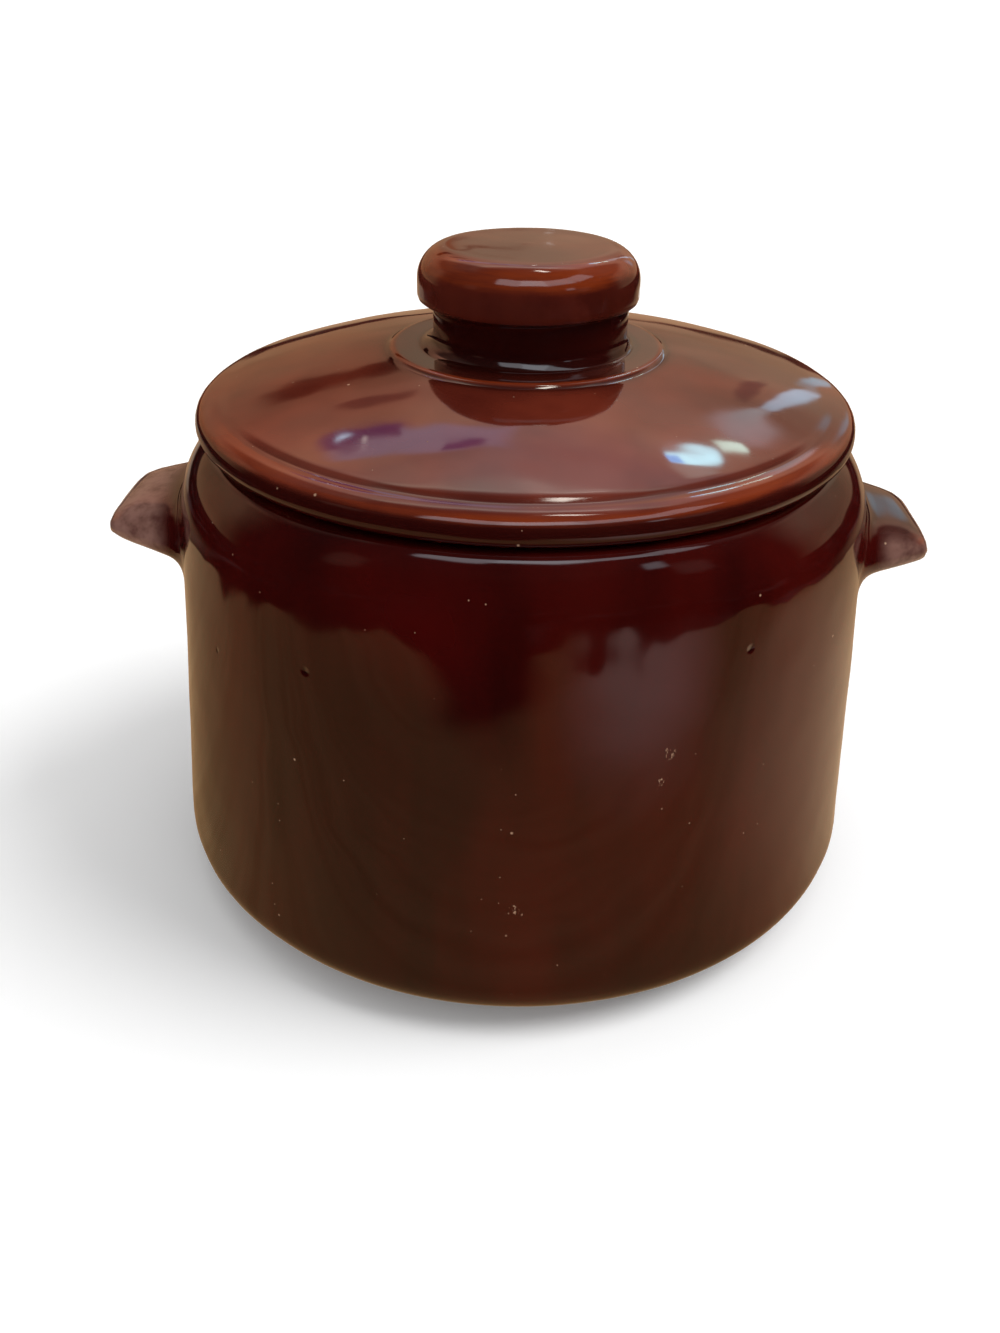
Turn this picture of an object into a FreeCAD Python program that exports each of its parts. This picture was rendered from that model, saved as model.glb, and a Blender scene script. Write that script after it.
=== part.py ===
import FreeCAD, Part
import math
import os

# Stoneware bean pot with two lug handles and a lift-off lid with a disc knob.
# Millimetres, +Z up. The origin is on the pot's axis in the plane that the foot ring stands on,
# and +X runs through the right-hand handle.

# ---- Driving dimensions -------------------------------------------------------------------------

# Pot body: a tapered wall between a rounded base corner and a rounded shoulder.
RIM_HEIGHT = 126.3           # foot plane to the flat rim that carries the lid
WALL_FOOT_RADIUS = 98.4      # outer wall, carried down to the foot plane
WALL_RIM_RADIUS = 88.3       # outer wall, carried up to the rim plane
WALL = 7.0                   # thickness of the wall and of the shoulder
FLOOR = 8.0                  # thickness of the floor
BASE_CORNER = 22.0           # outer radius of the base corner
SHOULDER_CORNER = 15.0       # outer radius of the shoulder
INNER_BASE_CORNER = 14.0     # radius between the floor and the inside of the wall
RIM_FLAT = 3.0               # width of the rim's flat from the shoulder to the mouth
MOUTH_EDGE = 1.5             # rounding of the mouth's two edges
FOOT_RING_WIDTH = 7.5        # width of the flat ring that the pot stands on
FOOT_RECESS = 2.0            # depth of the hollow inside the foot ring
FOOT_RECESS_CORNER = 1.0     # rounding at the root of that hollow

# Lug handles, one at each end of the X axis.
HANDLE_BELOW_RIM = 19.8      # rim plane down to the top face at the wall
HANDLE_STANDOUT = 20.4       # how far the tip stands out from the wall
HANDLE_DROOP = 4.0           # fall of the top face from the wall to its outer edge
HANDLE_BEVEL = 6.2           # how far the outer edge of the top face lies inside the tip
HANDLE_TIP_DROP = 15.0       # top face at the wall down to the upper end of the upright tip
HANDLE_TIP_HEIGHT = 4.0      # height of the upright tip
HANDLE_UNDER_FALL = 7.5      # fall of the underside from the tip to the wall
HANDLE_ROOT_WIDTH = 43.0     # width at the wall
HANDLE_TIP_WIDTH = 29.0      # width at the tip
HANDLE_KEEL_WIDTH = 10.0     # width of the underside at its lowest
HANDLE_PLAN_CORNER = 6.0     # corners of the tip, seen from above
HANDLE_NOSE = 3.0            # rounding along the tip's upper and lower edges

# Lid: a domed disc with a ring under it that drops into the mouth.
LID_OVERHANG = 9.2           # how far the lid's edge passes the rim's flat
LID_EDGE = 5.4               # height of the lid's edge before it is rounded
LID_RISE = 13.9              # rise of the dome above that edge
LID_THICKNESS = 7.0          # thickness of the domed middle
LID_TOP_ROUND = 4.3          # upper rounding of the edge
LID_BOTTOM_ROUND = 2.0       # lower rounding of the edge
RING_DEPTH = 6.0             # drop of the locating ring below the rim plane
RING_WIDTH = 5.0             # width of the locating ring
RING_CLEARANCE = 1.5         # radial gap between the locating ring and the mouth
RING_ROUND = 1.0             # rounding of the locating ring's lower edges
PAD_MARGIN = 10.0            # how far the pad under the knob passes the foot of its neck
PAD_STEP = 0.9               # height of the pad's edge above the dome
PAD_ROUND = 0.5              # rounding of the pad's edge

# Knob: a thick disc on a short neck.
KNOB_RADIUS = 27.5
KNOB_THICKNESS = 13.1
KNOB_TOP_ROUND = 7.7
KNOB_BOTTOM_ROUND = 2.0
KNOB_LIP = 3.5               # how far the disc stands out over the neck
NECK_HEIGHT = 10.9
NECK_FLARE = 0.9             # how far the foot of the neck stands out from the neck
NECK_FLARE_HEIGHT = 3.2
NECK_ROUND = 0.8             # rounding at the foot and at the top of the neck


# ---- Outlines -----------------------------------------------------------------------------------

SAME = 1e-4                  # two lengths this close count as equal


def corner_points(before, corner, after, radius):
    """Start, middle and end of the arc that rounds the corner between two straight runs."""
    to_before = (before - corner).normalize()
    to_after = (after - corner).normalize()
    half_angle = to_before.getAngle(to_after) / 2
    bisector = (to_before + to_after).normalize()
    centre = corner + bisector * (radius / math.sin(half_angle))
    setback = radius / math.tan(half_angle)
    return corner + to_before * setback, centre - bisector * radius, corner + to_after * setback


def outline(place, corners):
    """Closed wire through corners (a, b, radius), where place(a, b) gives the point in space."""
    points = [place(a, b) for a, b, _ in corners]
    starts, ends, edges = [], [], []
    for i, (_, _, radius) in enumerate(corners):
        start, end = points[i], points[i]
        if radius > 0:
            after = points[(i + 1) % len(points)]
            start, middle, end = corner_points(points[i - 1], points[i], after, radius)
            edges.append(Part.Arc(start, middle, end).toShape())
        starts.append(start)
        ends.append(end)
    for i, end in enumerate(ends):
        edges.append(Part.makeLine(end, starts[(i + 1) % len(starts)]))
    return Part.Wire(Part.__sortEdges__(edges))


def turned(corners):
    """Solid of revolution about Z from corners (radius, height, rounding)."""
    profile = Part.Face(outline(lambda r, z: FreeCAD.Vector(r, 0, z), corners))
    return profile.revolve(FreeCAD.Vector(), FreeCAD.Vector(0, 0, 1), 360)


def disc(radius, bottom, top):
    """Upright cylinder about Z between two heights."""
    return Part.makeCylinder(radius, top - bottom, FreeCAD.Vector(0, 0, bottom))


def circles(solid, radius, height):
    """The circular edges of a solid at one radius and one height about Z."""
    found = []
    for edge in solid.Edges:
        if edge.Degenerated or not isinstance(edge.Curve, Part.Circle):
            continue
        if abs(edge.Curve.Radius - radius) < SAME and abs(edge.Curve.Center.z - height) < SAME:
            found.append(edge)
    return found


# ---- Pot body -----------------------------------------------------------------------------------

WALL_LEAN = (WALL_FOOT_RADIUS - WALL_RIM_RADIUS) / RIM_HEIGHT
LEAN_ANGLE = math.atan(WALL_LEAN)


def wall_radius(height):
    """Outer radius of the tapered wall at a height."""
    return WALL_FOOT_RADIUS - WALL_LEAN * height


# Outer radius of the flat foot ring, and of the flat rim, where the rounded corners start.
FOOT_RADIUS = WALL_FOOT_RADIUS - BASE_CORNER / math.tan((math.pi / 2 - LEAN_ANGLE) / 2)
RIM_RADIUS = WALL_RIM_RADIUS - SHOULDER_CORNER / math.tan((math.pi / 2 + LEAN_ANGLE) / 2)
MOUTH_RADIUS = RIM_RADIUS - RIM_FLAT


def pot_envelope():
    """The pot's outer shape, filled solid."""
    return turned([
        (0, 0, 0),
        (wall_radius(0), 0, BASE_CORNER),
        (wall_radius(RIM_HEIGHT), RIM_HEIGHT, SHOULDER_CORNER),
        (0, RIM_HEIGHT, 0),
    ])


def pot_cavity():
    """The inside of the pot with its mouth, running on above the rim."""
    floor_top = FOOT_RECESS + FLOOR
    shoulder_bottom = RIM_HEIGHT - WALL
    inside = turned([
        (0, floor_top, 0),
        (wall_radius(floor_top) - WALL, floor_top, INNER_BASE_CORNER),
        (wall_radius(shoulder_bottom) - WALL, shoulder_bottom, SHOULDER_CORNER - WALL),
        (0, shoulder_bottom, 0),
    ])
    return inside.fuse(disc(MOUTH_RADIUS, floor_top, RIM_HEIGHT + WALL))


def pot_body():
    pot = pot_envelope().cut(pot_cavity())
    mouth = circles(pot, MOUTH_RADIUS, RIM_HEIGHT) + circles(pot, MOUTH_RADIUS, RIM_HEIGHT - WALL)
    pot = pot.makeFillet(MOUTH_EDGE, mouth)
    recess_radius = FOOT_RADIUS - FOOT_RING_WIDTH
    recess = turned([
        (0, -FLOOR, 0),
        (recess_radius, -FLOOR, 0),
        (recess_radius, FOOT_RECESS, FOOT_RECESS_CORNER),
        (0, FOOT_RECESS, 0),
    ])
    return pot.cut(recess)


# ---- Handles ------------------------------------------------------------------------------------

def run_on(place, first, second):
    """Second coordinate, at a first coordinate of place, of the line through two points."""
    share = (place - first[0]) / (second[0] - first[0])
    return first[1] + share * (second[1] - first[1])


def prism(place, corners, length):
    """Outline drawn out along the vector length."""
    return Part.Face(outline(place, corners)).extrude(length)


def handle():
    """Right-hand lug, its root cut to the pot's wall: a side profile, a plan and a keel in common."""
    root_top = RIM_HEIGHT - HANDLE_BELOW_RIM
    tip_top = root_top - HANDLE_TIP_DROP
    tip_bottom = tip_top - HANDLE_TIP_HEIGHT
    root_bottom = tip_bottom - HANDLE_UNDER_FALL
    wall = wall_radius((tip_top + tip_bottom) / 2)
    reach = wall + HANDLE_STANDOUT
    start = MOUTH_RADIUS
    top_edge = (reach - HANDLE_BEVEL, root_top - HANDLE_DROOP)
    start_top = run_on(start, (wall, root_top), top_edge)
    start_bottom = run_on(start, (wall, root_bottom), (reach, tip_bottom))
    half_tip = HANDLE_TIP_WIDTH / 2
    half_keel = HANDLE_KEEL_WIDTH / 2
    half_start = run_on(start, (wall, HANDLE_ROOT_WIDTH / 2), (reach, half_tip))
    profile = prism(lambda x, z: FreeCAD.Vector(x, -half_start, z), [
        (start, start_top, 0),
        (*top_edge, HANDLE_NOSE),
        (reach, tip_top, HANDLE_NOSE),
        (reach, tip_bottom, HANDLE_NOSE),
        (start, start_bottom, 0),
    ], FreeCAD.Vector(0, 2 * half_start, 0))
    plan = prism(lambda x, y: FreeCAD.Vector(x, y, start_bottom), [
        (start, -half_start, 0),
        (reach, -half_tip, HANDLE_PLAN_CORNER),
        (reach, half_tip, HANDLE_PLAN_CORNER),
        (start, half_start, 0),
    ], FreeCAD.Vector(0, 0, start_top - start_bottom))
    keel = prism(lambda y, z: FreeCAD.Vector(start, y, z), [
        (-half_start, start_top, 0),
        (-half_start, tip_top, HANDLE_PLAN_CORNER),
        (-half_keel, start_bottom, 0),
        (half_keel, start_bottom, 0),
        (half_start, tip_top, HANDLE_PLAN_CORNER),
        (half_start, start_top, 0),
    ], FreeCAD.Vector(reach - start, 0, 0))
    return profile.common(plan).common(keel).cut(pot_envelope())


def mirrored(shape):
    """The same shape on the other side of the YZ plane."""
    return shape.mirror(FreeCAD.Vector(), FreeCAD.Vector(1, 0, 0))


# ---- Lid ----------------------------------------------------------------------------------------

LID_RADIUS = RIM_RADIUS + LID_OVERHANG
DOME_RADIUS = (LID_RADIUS ** 2 + LID_RISE ** 2) / (2 * LID_RISE)
DOME_TOP = RIM_HEIGHT + LID_EDGE + LID_RISE
NECK_RADIUS = KNOB_RADIUS - KNOB_LIP
PAD_RADIUS = NECK_RADIUS + NECK_FLARE + PAD_MARGIN


def dome_height(radius):
    """Height of the lid's domed top at a radius."""
    return DOME_TOP - DOME_RADIUS + math.sqrt(DOME_RADIUS ** 2 - radius ** 2)


PAD_TOP = dome_height(PAD_RADIUS) + PAD_STEP


def dome_ball(depth):
    """Ball whose top is the lid's dome, sunk by a depth."""
    return Part.makeSphere(DOME_RADIUS - depth, FreeCAD.Vector(0, 0, DOME_TOP - DOME_RADIUS))


def lid():
    plate = disc(LID_RADIUS, RIM_HEIGHT, PAD_TOP).common(dome_ball(0))
    plate = plate.makeFillet(LID_TOP_ROUND, circles(plate, LID_RADIUS, RIM_HEIGHT + LID_EDGE))
    plate = plate.makeFillet(LID_BOTTOM_ROUND, circles(plate, LID_RADIUS, RIM_HEIGHT))
    pad = disc(PAD_RADIUS, RIM_HEIGHT + LID_EDGE, PAD_TOP)
    pad = pad.makeFillet(PAD_ROUND, circles(pad, PAD_RADIUS, PAD_TOP))
    ring_outer = MOUTH_RADIUS - RING_CLEARANCE
    ring_inner = ring_outer - RING_WIDTH
    ring_bottom = RIM_HEIGHT - RING_DEPTH
    ring = disc(ring_outer, ring_bottom, RIM_HEIGHT + LID_EDGE / 2)
    hollow = disc(ring_inner, ring_bottom - WALL, DOME_TOP).common(dome_ball(LID_THICKNESS))
    whole = plate.fuse(pad).fuse(ring).cut(hollow).removeSplitter()
    ring_edges = circles(whole, ring_outer, ring_bottom) + circles(whole, ring_inner, ring_bottom)
    return whole.makeFillet(RING_ROUND, ring_edges)


def lid_knob():
    disc_bottom = PAD_TOP + NECK_HEIGHT
    disc_top = disc_bottom + KNOB_THICKNESS
    return turned([
        (0, PAD_TOP, 0),
        (NECK_RADIUS + NECK_FLARE, PAD_TOP, NECK_ROUND),
        (NECK_RADIUS, PAD_TOP + NECK_FLARE_HEIGHT, NECK_ROUND),
        (NECK_RADIUS, disc_bottom, NECK_ROUND),
        (KNOB_RADIUS, disc_bottom, KNOB_BOTTOM_ROUND),
        (KNOB_RADIUS, disc_top, KNOB_TOP_ROUND),
        (0, disc_top, 0),
    ])


# ---- Parts --------------------------------------------------------------------------------------

PARTS = {
    "pot_body": pot_body(),
    "handle_right": handle(),
    "handle_left": mirrored(handle()),
    "lid": lid(),
    "lid_knob": lid_knob(),
}

os.makedirs("parts", exist_ok=True)
for name, shape in PARTS.items():
    shape.exportStep(os.path.join("parts", name + ".step"))
    box = shape.BoundBox
    print(name, "valid", shape.isValid(), "solids", len(shape.Solids),
          "volume %.0f" % shape.Volume,
          "x %.2f..%.2f" % (box.XMin, box.XMax), "z %.2f..%.2f" % (box.ZMin, box.ZMax))
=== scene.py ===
import math

import bpy
import numpy as np
from mathutils import Matrix, Vector


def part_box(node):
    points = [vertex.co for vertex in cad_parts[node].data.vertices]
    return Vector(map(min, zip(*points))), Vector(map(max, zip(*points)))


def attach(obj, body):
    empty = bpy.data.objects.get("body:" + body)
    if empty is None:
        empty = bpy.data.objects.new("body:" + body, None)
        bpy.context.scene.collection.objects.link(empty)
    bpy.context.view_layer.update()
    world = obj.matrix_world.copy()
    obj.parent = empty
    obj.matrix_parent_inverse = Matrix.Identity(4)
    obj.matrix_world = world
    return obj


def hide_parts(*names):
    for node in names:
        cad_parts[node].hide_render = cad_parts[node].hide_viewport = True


# The looks of the stoneware bean pot: the fired pot with its two lugs, and the lid with its knob,
# each as one glazed skin, with a camera and a small studio. Shapes are worked out in millimetres
# and turned into metres when a mesh is made. +X runs through the right-hand handle.

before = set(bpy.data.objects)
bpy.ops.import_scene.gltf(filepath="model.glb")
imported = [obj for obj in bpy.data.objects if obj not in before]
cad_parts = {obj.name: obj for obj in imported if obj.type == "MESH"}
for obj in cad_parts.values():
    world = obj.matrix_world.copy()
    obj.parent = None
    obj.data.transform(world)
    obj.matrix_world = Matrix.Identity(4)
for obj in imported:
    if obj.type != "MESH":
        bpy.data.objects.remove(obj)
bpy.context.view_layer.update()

MM = 0.001


def box_mm(node):
    """Lowest and highest corner of a CAD node, in millimetres."""
    low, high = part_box(node)
    return np.array(low) / MM, np.array(high) / MM


POT_HIGH = box_mm("pot_body")[1]
LUG_LOW, LUG_HIGH = box_mm("handle_right")
LID_LOW, LID_HIGH = box_mm("lid")
KNOB_LOW, KNOB_HIGH = box_mm("lid_knob")

# ---- Sizes of the clay, in millimetres ----------------------------------------------------------

RIM = POT_HIGH[2]                 # height of the flat that carries the lid
WALL_FOOT = 98.4                  # outer wall carried down to the foot plane
WALL_RIM = 88.3                   # outer wall carried up to the rim plane
WALL_THICK = 7.0
FLOOR_TOP = 10.0
SHOULDER = 15.0                   # inside rounding is this less the wall
# The shoulder outside: radius and height of the sharp turn under the lid, how much the clay below it
# flares for each millimetre down, and the rounding from there into the wall; at the front and at the
# two lugs, where it was squeezed in.
SHOULDER_FRONT = (84.2, 124.4, 0.78, 22.0)
SHOULDER_SIDE = (80.8, 123.8, 0.92, 22.0)
RIM_TURN = 0.9                    # rounding of the sharp turn
RIM_SLOPE = 0.5                   # how much higher the clay lies by the flat rim than at the turn
SIDE_FROM, SIDE_TO = 0.25, 0.95   # the front's shoulder turns into the side's between these cosines
FOOT_OUT = 72.2                   # flat ring that the pot stands on, outside and inside
FOOT_IN = 66.8
RECESS = 2.0
CORNER_HEIGHT = 13.8              # the base corner, a quarter of an oval
CORNER_POWER = 2.03
MOUTH = 71.5
RIM_FLAT = 3.0
MOUTH_EDGE = 1.5
INNER_CORNER = 14.0

LID_R = LID_HIGH[0]
LID_EDGE = 5.4
LID_RISE = 13.9
LID_THICK = 7.0
EDGE_TOP_ROUND = 4.1
EDGE_BOTTOM_ROUND = 2.2
EDGE_DROOP = 0.6                  # the edge hangs this far below the seat
GROOVE_R = 77.6                   # a shallow groove that runs just inside the lid's edge
GROOVE_DEPTH = 0.30
GROOVE_WIDTH = 1.2
RING_OUT = 70.0
RING_IN = 65.0
RING_BOTTOM = LID_LOW[2]
PAD_R = 34.8
PAD_TOP = KNOB_LOW[2]
PAD_ROUND = 0.9

KNOB_R = KNOB_HIGH[0]
KNOB_TOP = KNOB_HIGH[2]
KNOB_UNDER = 155.0
NECK_R = 24.4
NECK_FLARE = 1.9
NECK_FLARE_HEIGHT = 2.5
NECK_SHIFT = 0.8                  # the neck stands off the knob's middle
KNOB_TOP_ROUND = 7.75
KNOB_BOTTOM_ROUND = 1.45
KNOB_CROWN = 0.12                 # rise of the knob's top towards its middle

# What the potter's hand left: the whole pot leans a little, and the lid isn't quite level.
LEAN = 0.0090                     # sideways, per height
LEAN_FROM = 38.0
LID_TILT = (-0.0025, 0.0064)      # rise of the dome towards +X and +Y
POT_SWELL = [(0.10, 38, 3), (0.03, 15, 4)]        # amplitude, length and seed of each set of waves
LID_SWELL = [(0.07, 42, 11), (0.025, 16, 12)]
WAVE_COUNT = 14

# How finely the skins are divided: points along a profile before it's thinned, then the gaps that are
# left where it bends and where it doesn't, the angles round the pot in degrees, and those of the lid.
ARC_STEP = 8.0                    # degrees of an arc between two points
PROFILE_STEP = 0.3
UNDER_STEP = 4.0                  # the pot's underside and inside aren't thinned
INSIDE_STEP = 2.4
POT_GAPS = (0.9, 1.7)
POT_ANGLES = (0.5, 1.0)
LUG_ANGLES = 19                   # the finer angles reach this far to each side of a lug
LID_GAPS = (0.62, 1.5)
LID_UNDER_GAPS = (0.9, 3.0)
LID_SEAT_GAP = 1.2
LID_TURNS = 384


# ---- Profiles -----------------------------------------------------------------------------------

def unit(v):
    return v / np.linalg.norm(v)


def rounded(corners):
    """Points along straight runs through (radius, height, rounding), with each corner an arc."""
    path = []
    for i, (r, z, rounding) in enumerate(corners):
        corner = np.array((r, z), float)
        if rounding == 0:
            path.append(corner)
            continue
        before = unit(np.array(corners[i - 1][:2]) - corner)
        after = unit(np.array(corners[i + 1][:2]) - corner)
        half = math.acos(np.clip(before @ after, -1, 1)) / 2
        centre = corner + unit(before + after) * rounding / math.sin(half)
        start = corner + before * rounding / math.tan(half) - centre
        end = corner + after * rounding / math.tan(half) - centre
        first = math.atan2(start[1], start[0])
        turn = (math.atan2(end[1], end[0]) - first + math.pi) % (2 * math.pi) - math.pi
        steps = max(3, math.ceil(abs(math.degrees(turn)) / ARC_STEP))
        for k in range(steps + 1):
            angle = first + turn * k / steps
            path.append(centre + rounding * np.array((math.cos(angle), math.sin(angle))))
    return np.array(path)


def spaced(path, step, relax=3):
    """The path as points a step apart, with the joints between its runs eased a little."""
    run = np.concatenate([[0], np.cumsum(np.linalg.norm(np.diff(path, axis=0), axis=1))])
    at = np.linspace(0, run[-1], math.ceil(run[-1] / step) + 1)
    even = np.stack([np.interp(at, run, path[:, k]) for k in range(2)], 1)
    for _ in range(relax):
        even[1:-1] = (even[:-2] + 2 * even[1:-1] + even[2:]) / 4
    return even


def thinned(path, gap_at):
    """The path with fewer points, each at least gap_at(radius, height) from the one before."""
    kept = [0]
    for i in range(1, len(path)):
        if np.linalg.norm(path[i] - path[kept[-1]]) >= gap_at(*path[i]):
            kept.append(i)
    kept[-1] = len(path) - 1
    return path[kept]


def leaned(grid):
    """The points moved sideways with their height."""
    grid[..., 0] += LEAN * (grid[..., 2] - LEAN_FROM)
    return grid


def wall_radius(z):
    return WALL_FOOT - (WALL_FOOT - WALL_RIM) * z / RIM


def shoulder(turn_r, turn_z, flare, rounding):
    """Corners from the wall up over the shoulder to the rim."""
    taper = (WALL_FOOT - WALL_RIM) / RIM
    low_z = (turn_r + flare * turn_z - WALL_FOOT) / (flare - taper)
    rim_r = MOUTH + RIM_FLAT
    return [
        (wall_radius(low_z), low_z, rounding),
        (turn_r, turn_z, RIM_TURN),
        (rim_r + 1.0, turn_z + RIM_SLOPE, 0.4),
        (rim_r, RIM, 0),
    ]


def base_corner():
    """From the foot ring round to the wall, as a quarter of an oval."""
    reach = wall_radius(CORNER_HEIGHT) - FOOT_OUT
    turn = np.linspace(math.pi / 2, 0, 28)
    r = FOOT_OUT + reach * np.cos(turn) ** (2 / CORNER_POWER)
    z = CORNER_HEIGHT * (1 - np.sin(turn) ** (2 / CORNER_POWER))
    return [(a, b, 0) for a, b in zip(r, z)]


def pot_skins():
    """The pot's profile: under the foot, the outside at the front and at the lugs, and the inside."""
    rim_r = MOUTH + RIM_FLAT
    inner_shoulder = RIM - WALL_THICK
    under = rounded([
        (0, RECESS, 0),
        (FOOT_IN, RECESS, 1.0),
        (FOOT_IN, 0, 0.8),
        (FOOT_OUT - 1, 0, 0),
    ])
    outside = rounded(base_corner() + shoulder(*SHOULDER_FRONT))
    side = rounded(base_corner() + shoulder(*SHOULDER_SIDE))
    inside = rounded([
        (rim_r, RIM, 0),
        (MOUTH, RIM, MOUTH_EDGE),
        (MOUTH, inner_shoulder, MOUTH_EDGE),
        (wall_radius(inner_shoulder) - WALL_THICK, inner_shoulder, SHOULDER - WALL_THICK),
        (wall_radius(FLOOR_TOP) - WALL_THICK, FLOOR_TOP, INNER_CORNER),
        (0, FLOOR_TOP, 0),
    ])
    return under, outside, side, inside


def dome(r, sink=0.0):
    """Height of the lid's dome at a radius, or of its underside, sunk by its thickness."""
    ball = (LID_R ** 2 + LID_RISE ** 2) / (2 * LID_RISE)
    return RIM + LID_EDGE + LID_RISE - ball + math.sqrt((ball - sink) ** 2 - r ** 2)


def lid_profile():
    """From the middle of the underside, out over the edge and the dome, up the knob to its top."""
    hollow = [(r, dome(r, LID_THICK), 0) for r in np.linspace(0, RING_IN - 4, 14)]
    top = [(r, dome(r), 0) for r in np.linspace(LID_R - 9, PAD_R + 2, 12)]
    neck_top = KNOB_UNDER
    disc_top = KNOB_TOP - KNOB_CROWN
    crown_r = KNOB_R - KNOB_TOP_ROUND - 4
    crown = [(r, disc_top + KNOB_CROWN * (1 - (r / crown_r) ** 2), 0)
             for r in np.linspace(crown_r, 0, 8)]
    return rounded(hollow + [
        (RING_IN, dome(RING_IN, LID_THICK), 2.0),
        (RING_IN, RING_BOTTOM, 1.2),
        (RING_OUT, RING_BOTTOM, 1.2),
        (RING_OUT, RIM, 0.8),
        (RING_OUT + 6.0, RIM, 0.6),
        (RING_OUT + 8.0, RIM - EDGE_DROOP, 0.6),
        (LID_R, RIM - EDGE_DROOP, EDGE_BOTTOM_ROUND),
        (LID_R, RIM + LID_EDGE, EDGE_TOP_ROUND),
    ] + top + [
        (PAD_R, dome(PAD_R), 1.2),
        (PAD_R - 0.5, PAD_TOP, PAD_ROUND),
        (NECK_R + NECK_FLARE, PAD_TOP, 0.5),
        (NECK_R, PAD_TOP + NECK_FLARE_HEIGHT, 1.4),
        (NECK_R, neck_top, 0.8),
        (KNOB_R, neck_top, KNOB_BOTTOM_ROUND),
        (KNOB_R, disc_top, KNOB_TOP_ROUND),
    ] + crown)


# ---- Turned grids -------------------------------------------------------------------------------

def turned(profile, angles):
    """Rows of points: the profile turned to each angle. The shape is (rows, angles, 3)."""
    r, z = profile[:, 0][:, None], profile[:, 1][:, None]
    return np.stack([r * np.cos(angles), r * np.sin(angles), z + 0 * angles], -1)


def even_angles(count):
    return np.linspace(0, 2 * math.pi, count, endpoint=False)


def lug_angles(fine, coarse, half_width):
    """Angles round the pot, closer together where the two lugs are. Arguments are in degrees."""
    fine_map = np.linspace(0, 360, 3601)
    off = np.minimum(np.minimum(fine_map, abs(fine_map - 180)), 360 - fine_map)
    near = 1 / (1 + np.exp((off - half_width) / 2))
    count = np.concatenate([[0], np.cumsum((near / fine + (1 - near) / coarse)[:-1] * 0.1)])
    total = round(count[-1])
    return np.radians(np.interp(np.arange(total) / total * count[-1], count, fine_map))


def normals(grid):
    """Outward normals of a turned grid whose rows run from the underside outwards and up."""
    up = np.gradient(grid, axis=0)
    round_ = np.roll(grid, -1, axis=1) - np.roll(grid, 1, axis=1)
    n = np.cross(round_, up)
    return n / np.maximum(np.linalg.norm(n, axis=2, keepdims=True), 1e-9)


def bend(grid, along):
    """How sharply a grid bends outwards (+) or inwards (-) in one direction, in 1/mm."""
    n = normals(grid)
    if along == "round":
        after, before = np.roll(grid, -1, axis=1), np.roll(grid, 1, axis=1)
    else:
        padded = np.concatenate([grid[:1], grid, grid[-1:]])
        after, before = padded[2:], padded[:-2]
    a = np.linalg.norm(after - grid, axis=2)
    b = np.linalg.norm(grid - before, axis=2)
    pull = (after - grid) / np.maximum(a, 0.05)[..., None] - (grid - before) / np.maximum(b, 0.05)[..., None]
    return -np.einsum("ijk,ijk->ij", pull, n) * 2 / np.maximum(a + b, 0.1)


def eased(values, rounds):
    """The values spread over their neighbours."""
    for _ in range(rounds):
        padded = np.concatenate([values[:1], values, values[-1:]])
        values = (padded[:-2] + 2 * values + padded[2:]) / 4
        values = (np.roll(values, 1, 1) + 2 * values + np.roll(values, -1, 1)) / 4
    return values


def step(values, low, high):
    """0 below low, 1 above high, and smooth between them."""
    t = np.clip((values - low) / (high - low), 0, 1)
    return t * t * (3 - 2 * t)


def waves(points, length, seed):
    """A smooth random field over space, about -1 to 1, whose waves are about one length long."""
    rng = np.random.default_rng(seed)
    total = np.zeros(points.shape[:-1])
    for _ in range(WAVE_COUNT):
        direction = unit(rng.normal(size=3))
        pitch = 2 * math.pi / (length * rng.uniform(0.75, 1.5))
        total += np.sin(points @ direction * pitch + rng.uniform(0, 2 * math.pi))
    return total / math.sqrt(WAVE_COUNT)


def hand_swell(points, sizes):
    """How far the hand left the clay off its true form: waves, each (amplitude, length, seed)."""
    return sum(amplitude * waves(points, length, seed) for amplitude, length, seed in sizes)


# ---- Lugs ---------------------------------------------------------------------------------------

LUG_CORE = np.array((58.0, 0.0, 90.5))   # every point of a lug is in plain view from here
LUG_SOFT = 1.7                           # how softly a lug's faces run into each other
ROOT_BLEND = 4.6                         # how far the root's hollow reaches
LUG_ZONE = (50.0, 60.0, 40.0)            # skin that a lug may move: beyond x, within y, above z
LUG_REACH = 45.0                         # the skin moves out by no more than this
LUG_HALVINGS = 26                        # steps that close in on the lug's skin
# Faces of the right-hand lug: a point on each, and the way that it faces.
LUG_FACES = [
    ((100.0, 0, 103.8), (0.215, 0.05, 0.974)),
    ((100.0, 0, 103.8), (0.215, -0.14, 0.967)),
    ((109.4, 0, 97.0), (0.914, 0, 0.406)),
    ((113.3, 0, 90.7), (1.0, 0, 0)),
    ((107.0, 0, 79.3), (0.786, 0, -0.619)),
    ((105.0, 15.4, 101.2), (0.30, 0.80, 0.52)),
    ((105.0, -15.4, 101.2), (0.30, -0.80, 0.52)),
    ((105.0, 18.2, 95.0), (0.321, 0.947, 0.079)),
    ((105.0, -18.2, 95.0), (0.321, -0.947, 0.079)),
    ((105.0, 16.6, 92.4), (0.25, 0.397, -0.918)),
    ((105.0, -16.6, 92.4), (0.25, -0.397, -0.918)),
]
# The two were pressed on by hand, so each stands a little off that place, with its tip up by an
# angle in radians.
LUG_SHIFTS = {1: (-1.40, 0.0, 0.10, 0.0), -1: (1.38, 0.0, 0.52, 0.062)}
LUG_HINGE = np.array((92.0, 0.0, 94.0))


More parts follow.
